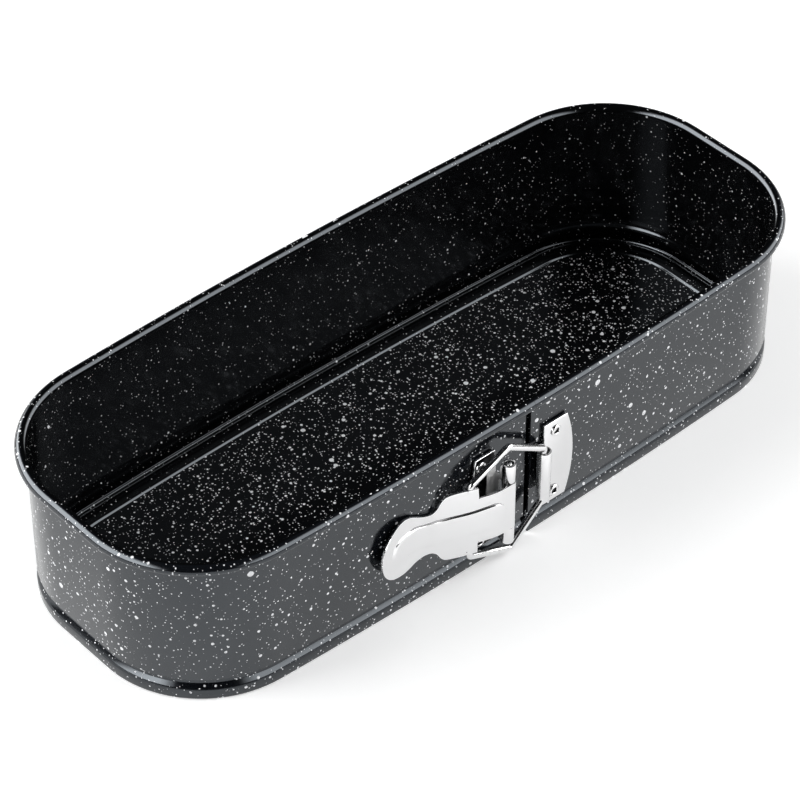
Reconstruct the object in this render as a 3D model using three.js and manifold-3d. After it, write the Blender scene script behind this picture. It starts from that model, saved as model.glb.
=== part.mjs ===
// Springform loaf pan: an open side band that closes round a loose base with an over-centre latch.
// Millimetres, +Z up. The origin is the middle of the base's underside, and the latch is on the -Y side.
import * as THREE from 'three';
import { mergeVertices } from 'three/addons/utils/BufferGeometryUtils.js';
import Module from 'manifold-3d';

const wasm = await Module();
wasm.setup();

// Pan
const panLength = 300;
const panWidth = 120;
const panHeight = 62.6;
const cornerRadius = 45;
const sideRadius = 2300; // the long sides bow out gently
const sheet = 0.7; // of the band and the base
const fitGap = 0.3; // between pieces that touch

// Side band. Insets and offsets are measured from the rim's outer edge, and heights from the floor.
const beadRadius = 2.2;
const wallInset = 3.6;
const footInset = 3.4;
const channelHeight = 8.6;
const neckDepth = 1.3;
const neckTopShare = 0.84;
const neckFootShare = 0.74;
const shoulderFootShare = 0.5;
const footRound = 0.6;
const lipWidth = 6;

// Where the band's ends meet. The left end carries a tongue that lies behind the right end.
const seamX = 0.7;
const seamGap = 2.4;
const beadGap = 0.4;
const tongueReach = 6.6;
const tongueRoot = 8;
const tongueMargin = 1.2;

// Base
const baseGap = 0.4; // to the band's neck
const baseRimRise = 1.2; // of the turned-up edge above the border
const borderWidth = 7.6;
const panelDrop = 1; // of the middle panel below the border
const stepRun = 0.8;
const panelLedge = 2;

// Latch. Its heights are shares of the height of the band's flat wall.
const wallHeight = panHeight - 2 * beadRadius - channelHeight;
const latchMiddleShare = 0.391;
const latchZ = channelHeight + wallHeight * latchMiddleShare;
const plateSheet = 1;
const wireRadius = 1.2;

// Keeper on the band's right end
const keeperLeft = 7.5;
const keeperEndWidth = 10.6;
const keeperWidth = 14.2;
const keeperHeightShare = 0.735;
const keeperBarrelX = 5.6;
const keeperBarrelShare = 0.415;
const keeperBarrelSheet = 1;
const keeperRivetInset = 5.9;
const keeperRivetEnd = 4.4;

// Bracket on the band's left end, and its pin
const pinX = -14.1;
const pinStandOff = 6.45; // of the pin's axis from the wall
const pinRadius = 1.2;
const knuckleSheet = 0.8;
const knuckleRiseShare = 0.367; // reach of the knuckles above and below the latch's middle
const knuckleDropShare = 0.35;
const bracketGap = 2.2; // from the lever's ears to the plate
const bracketRight = -15;
const bracketRiseShare = 0.41; // reach of the plate above the latch's middle
const bracketCut = 6.6;
const bracketTaper = 1.8;
const riserSpanShare = 0.68;
const bracketRivetInset = 2.8;
const bracketRivetEnd = 2.9;

// Rivets
const rivetRadius = 1.2;
const rivetHeadRadius = 2;
const rivetHeadHeight = 0.5;
const rivetBackRadius = 2.3;
const rivetBackHeight = 0.6;

// Lever. Places along it are shares of its length from the pin's axis to its tip.
const leverLength = 52.8;
const leverSheet = 0.8;
const leverBarrelShare = 0.407;
const leverStandOff = 0.4; // least distance to the wall
const leverBendShares = [[0, 1], [0.12, 0.96], [0.254, 0.69], [0.35, 0.42], [0.454, 0.14], [0.55, 0]];
const tipFlare = 2.4;
const tipFlareShares = [[0.7, 0], [0.82, 0.25], [0.92, 0.65], [1.05, 1.2]];
const wingSpanShare = 0.58;
const wingNearShare = 0.254;
const wingFarShare = 0.454;
const wingRun = 3.4; // by which a wing's far corner runs on towards the neck
const neckShare = 0.585;
const neckSpanShare = 0.38;
const tipWideShare = 0.785;
const tipSpanShare = 0.488;
const ribSpanShare = 0.19;
const ribRise = 0.8;
const ribNear = 3;
const ribEnd = 3.4;
const earRadius = 2.3;
const earSheet = 0.8;
const earInset = 0.2; // from the wing's edge

// Wire bail, which joins the lever's ears to the keeper
const eyeShare = 0.288;
const eyeStandOff = 3.6;
const bailDrop = 1.1; // its play lets it hang below the latch's middle
const bailShoulderX = -12.4;
const bailShoulderRise = 2.2; // above the knee
const bailEndRun = 6.2; // from the knee to the ears
const bendRadius = 2;

// How finely round shapes are faceted
const cornerSteps = 9;
const sideSteps = 5;
const roundSides = 14;
const bendSteps = 4;

const coating = { color: 0x26282b, roughness: 0.3, metalness: 0.1 };
const steel = { color: 0xdcdde0, roughness: 0.2, metalness: 0.9 };

const wallFace = -(panWidth / 2 - wallInset);
const plateBack = wallFace - fitGap;
const plateFront = plateBack - plateSheet;
const pinY = wallFace - pinStandOff;
const eyeY = wallFace - eyeStandOff;
const boreRadius = wireRadius + fitGap;
const knuckleBore = pinRadius + fitGap;
const knuckleRadius = knuckleBore + knuckleSheet;
const knuckleRise = wallHeight * knuckleRiseShare;
const knuckleDrop = wallHeight * knuckleDropShare;
const knuckleHeight = knuckleRise + knuckleDrop;
const knuckleMiddle = (knuckleRise - knuckleDrop) / 2;
const eyeX = pinX - leverLength * eyeShare;
const bracketLeft = eyeX + earRadius + bracketGap;
const bracketRise = wallHeight * bracketRiseShare;
const bracketDrop = latchZ - channelHeight;
const leverBarrelHeight = wallHeight * leverBarrelShare;
const wingSpan = wallHeight * wingSpanShare;
const keeperHeight = wallHeight * keeperHeightShare;
const keeperBarrelHeight = wallHeight * keeperBarrelShare;
const cutReach = panWidth; // length of the cutters that pass right through

// Turning meshes into solids and back

function toSolid(geometry) {
  const plain = geometry.clone();
  plain.deleteAttribute('normal');
  plain.deleteAttribute('uv');
  const merged = mergeVertices(plain);
  return new wasm.Manifold(new wasm.Mesh({
    numProp: 3,
    vertProperties: new Float32Array(merged.attributes.position.array),
    triVerts: new Uint32Array(merged.index.array),
  }));
}

function toMesh(name, solid, finish) {
  const { vertProperties, triVerts, numProp } = solid.getMesh();
  const indexed = new THREE.BufferGeometry();
  indexed.setAttribute('position', new THREE.BufferAttribute(vertProperties, numProp));
  indexed.setIndex(new THREE.BufferAttribute(triVerts, 1));
  const faceted = indexed.toNonIndexed();
  faceted.computeVertexNormals();
  const mesh = new THREE.Mesh(faceted, new THREE.MeshStandardMaterial(finish));
  mesh.name = name;
  return mesh;
}

// Lines in a plane: each is a list of [x, y] points

function rightOf([ax, ay], [bx, by]) {
  const length = Math.hypot(bx - ax, by - ay);
  return [(by - ay) / length, (ax - bx) / length];
}

// At each point, the way to the line that runs alongside on the right at a distance of one
function mitres(line) {
  return line.map((point, i) => {
    const before = rightOf(line[Math.max(i, 1) - 1], line[Math.max(i, 1)]);
    const last = line.length - 1;
    const after = i < last ? rightOf(point, line[i + 1]) : before;
    const share = 1 / (1 + before[0] * after[0] + before[1] * after[1]);
    return [(before[0] + after[0]) * share, (before[1] + after[1]) * share];
  });
}

function alongside(line, distance) {
  const ways = mitres(line);
  return line.map(([x, y], i) => [x + ways[i][0] * distance, y + ways[i][1] * distance]);
}

function rounded(line, radius) {
  return line.flatMap((corner, i) => {
    if (i === 0 || i === line.length - 1) return [corner];
    const here = new THREE.Vector2(...corner);
    const back = new THREE.Vector2(...line[i - 1]).sub(here).normalize();
    const on = new THREE.Vector2(...line[i + 1]).sub(here).normalize();
    const half = Math.acos(back.dot(on)) / 2;
    const centre = back.clone().add(on).setLength(radius / Math.sin(half)).add(here);
    const from = here.clone().addScaledVector(back, radius / Math.tan(half)).sub(centre);
    const to = here.clone().addScaledVector(on, radius / Math.tan(half)).sub(centre);
    const turn = Math.atan2(from.cross(to), from.dot(to));
    return Array.from({ length: bendSteps + 1 }, (_, k) => {
      const spoke = from.clone().rotateAround(new THREE.Vector2(), (turn * k) / bendSteps);
      return spoke.add(centre).toArray();
    });
  });
}

function circle(x, y, radius) {
  return Array.from({ length: roundSides }, (_, i) => {
    const angle = (2 * Math.PI * i) / roundSides;
    return [x + radius * Math.cos(angle), y + radius * Math.sin(angle)];
  });
}

function outlineOf(points) {
  return new THREE.Shape(points.map((point) => new THREE.Vector2(...point)));
}

// Solids drawn from lines

function extruded(shape, depth) {
  return new THREE.ExtrudeGeometry(shape, { depth, bevelEnabled: false, curveSegments: cornerSteps });
}

// An outline in X and Z, measured from the latch's middle height, whose back is at Y
function panel(shape, backY, thickness) {
  return toSolid(extruded(shape, thickness).rotateX(Math.PI / 2).translate(0, backY, latchZ));
}

// An outline in X and Y that stands upright round a height measured from the latch's middle
function column(shape, height, middle = 0) {
  return toSolid(extruded(shape, height).translate(0, 0, latchZ + middle - height / 2));
}

// A profile of [offset, z] points carried along stations. The ends of an open path or profile are capped.
function swept(profile, stations, { pathCloses = false, profileCloses = true } = {}) {
  const rows = stations.length;
  const columns = profile.length;
  const corners = stations.map((s) => profile.map(([offset, z]) => [
    s.x + s.nx * (s.radius + offset),
    s.y + s.ny * (s.radius + offset),
    z,
  ]));
  const at = (i, j) => (i % rows) * columns + (j % columns);
  const faces = [];
  for (let i = 0; i < (pathCloses ? rows : rows - 1); i += 1) {
    for (let j = 0; j < (profileCloses ? columns : columns - 1); j += 1) {
      faces.push([at(i, j), at(i + 1, j + 1), at(i, j + 1)], [at(i, j), at(i + 1, j), at(i + 1, j + 1)]);
    }
  }
  const filled = (points) => {
    const flat = points.map(([x, y]) => new THREE.Vector2(x, y));
    return THREE.ShapeUtils.triangulateShape(flat, []);
  };
  if (!pathCloses) {
    const end = rows - 1;
    for (const [a, b, c] of filled(profile)) {
      faces.push([at(0, a), at(0, b), at(0, c)], [at(end, a), at(end, c), at(end, b)]);
    }
  }
  if (!profileCloses) {
    const end = columns - 1;
    const sides = [0, end].map((j) => filled(corners.map((row) => row[j])));
    for (const [a, b, c] of sides[0]) faces.push([at(a, 0), at(c, 0), at(b, 0)]);
    for (const [a, b, c] of sides[1]) faces.push([at(a, end), at(b, end), at(c, end)]);
  }
  const geometry = new THREE.BufferGeometry();
  geometry.setAttribute('position', new THREE.Float32BufferAttribute(corners.flat(2), 3));
  geometry.setIndex(faces.flat());
  return toSolid(geometry);
}

function joined(solids) {
  return solids.reduce((whole, solid) => whole.add(solid));
}

function drilled(solid, holes) {
  return holes.reduce((rest, hole) => rest.subtract(hole), solid);
}

// Plan of the pan at the rim's outer edge: long side arcs and corner arcs that meet smoothly

const cornerX = panLength / 2 - cornerRadius;
const sideCentreY = sideRadius - panWidth / 2;
const cornerY = Math.sqrt((sideRadius - cornerRadius) ** 2 - cornerX ** 2) - sideCentreY;
const sideAngle = Math.atan2(cornerX, cornerY + sideCentreY);
const quarter = Math.PI / 2;

function arc(x, y, radius, from, to, steps) {
  return Array.from({ length: steps + 1 }, (_, i) => {
    const angle = from + ((to - from) * i) / steps;
    return { x, y, radius, nx: Math.cos(angle), ny: Math.sin(angle) };
  });
}

const wallAt = (x) => sideCentreY - Math.sqrt((sideRadius - wallInset) ** 2 - x ** 2);
const frontAngle = (x) => Math.asin(x / sideRadius) - quarter;

function front(fromX, toX, steps) {
  return arc(0, sideCentreY, sideRadius, frontAngle(fromX), frontAngle(toX), steps);
}

// From the front's right end, anticlockwise, to its left end
function roundTheBack() {
  return [
    ...arc(cornerX, -cornerY, cornerRadius, sideAngle - quarter, 0, cornerSteps),
    ...arc(cornerX, cornerY, cornerRadius, 0, quarter - sideAngle, cornerSteps),
    ...arc(0, -sideCentreY, sideRadius, quarter - sideAngle, quarter + sideAngle, 2 * sideSteps).slice(1, -1),
    ...arc(-cornerX, cornerY, cornerRadius, quarter + sideAngle, 2 * quarter, cornerSteps),
    ...arc(-cornerX, -cornerY, cornerRadius, 2 * quarter, 3 * quarter - sideAngle, cornerSteps),
  ];
}

const sideEndX = sideRadius * Math.sin(sideAngle);

function openPath(gap) {
  return [
    ...front(seamX + gap / 2, sideEndX, sideSteps).slice(0, -1),
    ...roundTheBack(),
    ...front(-sideEndX, seamX - gap / 2, sideSteps).slice(1),
  ];
}

const closedPath = [...roundTheBack(), ...front(-sideEndX, sideEndX, 2 * sideSteps).slice(1, -1)];

// Rivets: their places on the wall, the holes they need and the rivets themselves

const keeperRivets = [1, -1].map((side) => [
  keeperLeft + keeperRivetInset,
  side * (keeperHeight / 2 - keeperRivetEnd),
]);
const bracketRivets = [
  [bracketLeft + bracketRivetInset, bracketRise - bracketRivetEnd],
  [bracketLeft + bracketRivetInset, bracketRivetEnd - bracketDrop],
];

function rivetHole([x, z]) {
  const hole = new THREE.CylinderGeometry(rivetRadius + fitGap, rivetRadius + fitGap, cutReach, roundSides);
  return toSolid(hole.translate(x, -cutReach / 2, latchZ + z));
}

function rivet([x, z]) {
  const under = plateFront - fitGap;
  const inner = wallAt(x) + sheet + fitGap;
  const dome = [0, 1, 2, 3].map((step) => {
    const angle = (quarter * step) / 3;
    return [rivetHeadRadius * Math.sin(angle), under - rivetHeadHeight * Math.cos(angle)];
  });
  const profile = [
    ...dome,
    [rivetRadius, under],
    [rivetRadius, inner],
    [rivetBackRadius, inner],
    [rivetBackRadius, inner + rivetBackHeight],
    [0, inner + rivetBackHeight],
  ];
  const turned = new THREE.LatheGeometry(profile.map((point) => new THREE.Vector2(...point)), roundSides);
  return toSolid(turned.translate(x, 0, latchZ + z));
}

// Side band: one sheet with a rolled rim, and a channel at its foot that turns in under the base

function sideBand() {
  const outside = [
    [-wallInset, panHeight - beadRadius],
    [-wallInset, channelHeight],
    [-wallInset - neckDepth, channelHeight * neckTopShare],
    [-wallInset - neckDepth, channelHeight * neckFootShare],
    [-footInset, channelHeight * shoulderFootShare],
    [-footInset, footRound],
    [-footInset - footRound, 0],
    [-footInset - lipWidth, 0],
  ];
  const wall = swept([...alongside(outside, sheet), ...outside.reverse()], openPath(seamGap));
  const bead = swept(circle(-beadRadius, panHeight - beadRadius, beadRadius), openPath(beadGap));

  const tongueFace = -wallInset - sheet - fitGap;
  const tongueFoot = channelHeight + tongueMargin;
  const tongueTop = panHeight - 2 * beadRadius - tongueMargin;
  const strip = (face) => [
    [tongueFace - sheet, tongueFoot],
    [face, tongueFoot],
    [face, tongueTop],
    [tongueFace - sheet, tongueTop],
  ];
  const leftEnd = seamX - seamGap / 2;
  const root = swept(strip(-wallInset - sheet / 2), front(leftEnd - tongueRoot, leftEnd - sheet, 1));
  const tongue = swept(strip(tongueFace), front(leftEnd - tongueRoot, leftEnd + seamGap + tongueReach, 2));

  return drilled(joined([wall, bead, root, tongue]), [...keeperRivets, ...bracketRivets].map(rivetHole));
}

// Base: a shallow tray with a turned-up edge, a flat border and a panel one step lower

const baseInset = wallInset + neckDepth + sheet + baseGap;

function basePlate() {
  const panelEdge = baseInset + borderWidth + stepRun;
  const underside = [
    [-baseInset, panelDrop + sheet + baseRimRise],
    [-baseInset, panelDrop],
    [-baseInset - borderWidth, panelDrop],
    [-panelEdge, 0],
    [-panelEdge - panelLedge, 0],
  ];
  const profile = [...underside].reverse().concat(alongside(underside, sheet));
  return swept(profile, closedPath, { pathCloses: true, profileCloses: false });
}

// Keeper: a D-shaped plate whose straight edge is rolled into a barrel for the wire

function keeperPlate() {
  const half = keeperHeight / 2;
  const bulge = keeperWidth - keeperEndWidth;
  const bulgeRadius = (half ** 2 + bulge ** 2) / (2 * bulge);
  const bulgeAngle = Math.asin(half / bulgeRadius);
  const outline = new THREE.Shape();
  outline.moveTo(keeperLeft, half);
  outline.lineTo(keeperLeft, -half);
  outline.absarc(keeperLeft + keeperWidth - bulgeRadius, 0, bulgeRadius, -bulgeAngle, bulgeAngle, false);

  const barrelRadius = boreRadius + keeperBarrelSheet;
  const webRight = keeperLeft + plateSheet;
  const webFront = eyeY + barrelRadius - keeperBarrelSheet / 2;
  const webOutline = outlineOf([
    [keeperBarrelX, webFront],
    [webRight, webFront],
    [webRight, plateBack],
    [keeperBarrelX, plateBack],
  ]);
  const web = column(webOutline, keeperBarrelHeight);
  const barrel = column(outlineOf(circle(keeperBarrelX, eyeY, barrelRadius)), keeperBarrelHeight);
  const bore = column(outlineOf(circle(keeperBarrelX, eyeY, boreRadius)), keeperHeight);
  const whole = joined([panel(outline, plateBack, plateSheet), web, barrel]);
  return drilled(whole, [bore, ...keeperRivets.map(rivetHole)]);
}

// Bracket: a plate on the wall that turns out into a riser, with two knuckles for the pin at its edge

function hingeBracket() {
  const outline = outlineOf([
    [bracketLeft, bracketCut - bracketDrop],
    [bracketLeft + bracketTaper, -bracketDrop],
    [bracketRight, -bracketDrop],
    [bracketRight, bracketRise],
    [bracketLeft + bracketTaper, bracketRise],
    [bracketLeft, bracketRise - bracketCut],
  ]);

  const riserLeft = pinX - knuckleRadius;
  const riserOutline = outlineOf([
    [riserLeft, pinY],
    [riserLeft + knuckleSheet, pinY],
    [riserLeft + knuckleSheet, plateBack - plateSheet / 2],
    [riserLeft, plateBack - plateSheet / 2],
  ]);
  const riser = column(riserOutline, wallHeight * riserSpanShare);
  const knuckles = column(outlineOf(circle(pinX, pinY, knuckleRadius)), knuckleHeight, knuckleMiddle);
  const leverRoom = column(
    outlineOf(circle(pinX, pinY, knuckleRadius + fitGap)),
    leverBarrelHeight + 2 * fitGap,
  );
  const bore = column(outlineOf(circle(pinX, pinY, knuckleBore)), cutReach);
  const whole = joined([panel(outline, plateBack, plateSheet), riser, knuckles]);
  return drilled(whole, [leverRoom, bore, ...bracketRivets.map(rivetHole)]);
}

function hingePin() {
  return column(outlineOf(circle(pinX, pinY, pinRadius)), knuckleHeight - 2 * fitGap, knuckleMiddle);
}

// Lever: a bent and embossed sheet, rolled round the pin at one end, with an ear on each wing for the wire

function lever() {
  const alongX = (share) => pinX - leverLength * share;
  const high = pinStandOff + knuckleRadius;
  const low = leverStandOff + leverSheet;
  const face = [
    ...leverBendShares.map(([share, height]) => [alongX(share), low + (high - low) * height]),
    ...tipFlareShares.map(([share, height]) => [alongX(share), low + tipFlare * height]),
  ].map(([x, height]) => [x, wallAt(x) - height]);
  const layer = (front, back) => outlineOf([...alongside(face, front), ...alongside(face, back).reverse()]);

  const outline = new THREE.Shape();
  const halfNeck = (wallHeight * neckSpanShare) / 2;
  const halfTip = (wallHeight * tipSpanShare) / 2;
  const wingNear = alongX(wingNearShare);
  const wingFar = alongX(wingFarShare);
  const neck = alongX(neckShare);
  const wide = alongX(tipWideShare);
  const middle = (neck + wide) / 2;
  const tip = alongX(1);
  outline.moveTo(pinX, -leverBarrelHeight / 2);
  outline.lineTo(pinX, leverBarrelHeight / 2);
  outline.lineTo(wingNear, leverBarrelHeight / 2);
  outline.lineTo(wingNear, wingSpan / 2);
  outline.lineTo(wingFar, wingSpan / 2);
  outline.quadraticCurveTo(wingFar - wingRun, halfNeck, neck, halfNeck);
  outline.bezierCurveTo(middle, halfNeck, middle, halfTip, wide, halfTip);
  outline.absellipse(wide, 0, wide - tip, halfTip, quarter, 3 * quarter, false);
  outline.bezierCurveTo(middle, -halfTip, middle, -halfNeck, neck, -halfNeck);
  outline.quadraticCurveTo(wingFar - wingRun, -halfNeck, wingFar, -wingSpan / 2);
  outline.lineTo(wingNear, -wingSpan / 2);
  outline.lineTo(wingNear, -leverBarrelHeight / 2);
  const body = column(layer(0, leverSheet), cutReach).intersect(panel(outline, 0, cutReach));

  const rib = new THREE.Shape();
  const ribRadius = (wallHeight * ribSpanShare) / 2;
  rib.absarc(pinX - ribNear - ribRadius, 0, ribRadius, -quarter, quarter, false);
  rib.absarc(tip + ribEnd + ribRadius, 0, ribRadius, quarter, 3 * quarter, false);
  const emboss = column(layer(-ribRise, leverSheet / 2), cutReach).intersect(panel(rib, 0, cutReach));

  const barrel = column(outlineOf(circle(pinX, pinY, knuckleRadius)), leverBarrelHeight);
  const bore = column(outlineOf(circle(pinX, pinY, knuckleBore)), cutReach);

  const atEars = (radius, height) => [1, -1].map((side) => {
    const middle = side * (wingSpan / 2 - earInset - earSheet / 2);
    return column(outlineOf(circle(eyeX, eyeY, radius)), height, middle);
  });
  const ears = atEars(earRadius, earSheet);
  const eyes = atEars(boreRadius, earSheet + 4 * earInset);

  return drilled(joined([body, emboss, barrel, ...ears]), [bore, ...eyes]);
}

// Wire bail: runs up through the keeper's barrel, spreads over two shoulders and past the knuckles, and ends
// beside the lever's ears

function wireBail() {
  const end = wingSpan / 2 + bailDrop + wireRadius;
  const knee = knuckleRise + bailDrop + wireRadius + fitGap / 2;
  const run = keeperBarrelHeight / 2 + bailDrop + bendRadius / 2;
  const halfLine = [
    [eyeX, end],
    [eyeX + bailEndRun, knee],
    [bailShoulderX, knee + bailShoulderRise],
    [keeperBarrelX, run],
  ];
  const mirrored = halfLine.map(([x, z]) => [x, -z]).reverse();
  const line = rounded([...halfLine, ...mirrored], bendRadius);
  const ways = mitres(line);
  const stations = line.map(([x, y], i) => ({ x, y, radius: 0, nx: ways[i][0], ny: ways[i][1] }));
  const flat = swept(circle(0, 0, wireRadius), stations);
  return flat.rotate([90, 0, 0]).translate([0, eyeY, latchZ - bailDrop]);
}

const pan = new THREE.Group();
pan.add(
  toMesh('side_band', sideBand(), coating),
  toMesh('base_plate', basePlate(), coating),
  toMesh('keeper_plate', keeperPlate(), steel),
  toMesh('hinge_bracket', hingeBracket(), steel),
  toMesh('hinge_pin', hingePin(), steel),
  toMesh('lever', lever(), steel),
  toMesh('wire_bail', wireBail(), steel),
);
['upper', 'lower'].forEach((place, i) => {
  pan.add(
    toMesh(`keeper_rivet_${place}`, rivet(keeperRivets[i]), steel),
    toMesh(`bracket_rivet_${place}`, rivet(bracketRivets[i]), steel),
  );
});

export default pan;
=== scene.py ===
import math

import bmesh
import bpy
from mathutils import Matrix, Vector


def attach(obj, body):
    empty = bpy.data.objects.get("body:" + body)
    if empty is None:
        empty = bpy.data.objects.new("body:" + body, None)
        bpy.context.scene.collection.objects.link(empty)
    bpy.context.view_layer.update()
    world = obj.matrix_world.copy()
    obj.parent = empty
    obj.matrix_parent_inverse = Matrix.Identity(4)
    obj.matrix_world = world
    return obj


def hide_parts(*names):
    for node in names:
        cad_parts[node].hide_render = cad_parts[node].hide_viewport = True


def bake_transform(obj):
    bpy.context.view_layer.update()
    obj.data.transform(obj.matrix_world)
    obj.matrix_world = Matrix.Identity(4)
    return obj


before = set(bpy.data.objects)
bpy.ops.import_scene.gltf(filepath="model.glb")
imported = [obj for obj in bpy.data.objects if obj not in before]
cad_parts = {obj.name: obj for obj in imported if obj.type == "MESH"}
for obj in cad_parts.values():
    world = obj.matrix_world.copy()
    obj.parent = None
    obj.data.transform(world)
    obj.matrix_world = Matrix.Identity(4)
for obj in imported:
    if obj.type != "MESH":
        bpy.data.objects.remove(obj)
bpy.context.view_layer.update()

# Shapes are given in millimetres, and at() and MM turn them into metres.

MM = 0.001
WELD = 0.002  # points closer than this become one
SAME_PLACE = 0.01  # how near a corner has to be to a point to be the one that is meant


# Drawing and shaping

def at(x, y, z):
    """A place given in millimetres."""
    return Vector((x, y, z)) * MM


def deselect():
    bpy.ops.object.select_all(action="DESELECT")


def activate(obj):
    """Selects an object alone and makes it the active one."""
    deselect()
    obj.select_set(True)
    bpy.context.view_layer.objects.active = obj


def begin(name):
    """Names the newest object and opens it in edit mode."""
    obj = bpy.context.object
    obj.name = obj.data.name = name
    bpy.context.tool_settings.mesh_select_mode = (True, False, False)
    bpy.ops.object.mode_set(mode="EDIT")
    return obj


def end():
    """Welds what meets, turns the normals outwards and leaves edit mode."""
    bpy.ops.mesh.select_all(action="SELECT")
    bpy.ops.mesh.remove_doubles(threshold=WELD * MM)
    bpy.ops.mesh.normals_make_consistent(inside=False)
    bpy.ops.object.mode_set(mode="OBJECT")


def pull(way):
    """Extrudes what is selected by a vector."""
    bpy.ops.mesh.extrude_region_move(TRANSFORM_OT_translate={"value": way})


def drawn(name, points, filled=True):
    """A line of points, drawn one after the other and left selected in edit mode."""
    deselect()
    bpy.ops.mesh.primitive_plane_add(size=MM)
    obj = begin(name)
    bpy.ops.mesh.merge(type="CENTER")
    places = [at(*point) for point in points]
    bpy.ops.transform.translate(value=places[0])
    for here, there in zip(places, places[1:]):
        pull(there - here)
    bpy.ops.mesh.select_all(action="SELECT")
    if filled:
        bpy.ops.mesh.edge_face_add()
    return obj


def pick(obj, kind, test):
    """Selects the vertices or edges that the test finds, and nothing else."""
    bpy.ops.mesh.select_all(action="DESELECT")
    mesh = bmesh.from_edit_mesh(obj.data)
    bpy.ops.mesh.select_mode(type={"verts": "VERT", "edges": "EDGE"}[kind])
    for item in getattr(mesh, kind):
        if test(item):
            item.select_set(True)
    mesh.select_flush_mode()
    bmesh.update_edit_mesh(obj.data)


def rounded(obj, point, run, segments):
    """Rounds the corner of a drawn outline at a point, from a run before it to a run after it."""
    corner = at(*point)
    pick(obj, "verts", lambda v: (v.co - corner).length < SAME_PLACE * MM)
    bpy.ops.mesh.bevel(offset=run * MM, segments=segments, affect="VERTICES")


def on_circle(x, y, radius, start, stop, steps):
    """Points on an arc, with its angles in degrees from +X anticlockwise."""
    turns = [math.radians(start + (stop - start) * i / steps) for i in range(steps + 1)]
    return [(x + radius * math.cos(t), y + radius * math.sin(t)) for t in turns]


def shaped(obj, modifier, **settings):
    """Adds a modifier and applies it."""
    activate(obj)
    added = obj.modifiers.new(modifier.lower(), modifier)
    for key, value in settings.items():
        setattr(added, key, value)
    bpy.ops.object.modifier_apply(modifier=added.name)


def softened(obj, width, segments, degrees):
    """Bevels the edges that turn by more than an angle. A piece's EDGE holds the three numbers."""
    shaped(obj, "BEVEL", width=width * MM, segments=segments, limit_method="ANGLE",
           angle_limit=math.radians(degrees))


def thickened(obj, thickness, even=False):
    """Gives a sheet its thickness, half of it to each side."""
    shaped(obj, "SOLIDIFY", thickness=thickness * MM, offset=0, use_even_offset=even)


def smooth(obj, degrees=35):
    """Shades an object smooth but for the edges that turn by more than an angle."""
    activate(obj)
    bpy.ops.object.shade_smooth_by_angle(angle=math.radians(degrees))


def joined(name, parts):
    """Several objects as one."""
    deselect()
    for part in parts:
        part.select_set(True)
    bpy.context.view_layer.objects.active = parts[0]
    bpy.ops.object.join()
    obj = bpy.context.object
    obj.name = obj.data.name = name
    return obj


def painted(obj, *materials, choose=None):
    """Gives a piece its materials. The chooser returns the number of a face's material."""
    obj.data.materials.clear()
    for material in materials:
        obj.data.materials.append(material)
    if choose:
        for face in obj.data.polygons:
            face.material_index = choose(face)


# Materials

class Value:
    """A socket in a material. Python's operators add its Math nodes."""

    def __init__(self, finish, socket):
        self.finish = finish
        self.socket = socket

    def maths(self, operation, *values):
        return self.finish.node("ShaderNodeMath", {"operation": operation}, *values)

    def __add__(self, other):
        return self.maths("ADD", self, other)

    def __sub__(self, other):
        return self.maths("SUBTRACT", self, other)

    def __mul__(self, other):
        return self.maths("MULTIPLY", self, other)

    def __truediv__(self, other):
        return self.maths("DIVIDE", self, other)

    def __pow__(self, other):
        return self.maths("POWER", self, other)

    def highest(self, other):
        return self.maths("MAXIMUM", self, other)

    def kept(self):
        """Held between 0 and 1."""
        return self.finish.node("ShaderNodeClamp", {}, self)

    __radd__ = __add__
    __rmul__ = __mul__


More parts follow.
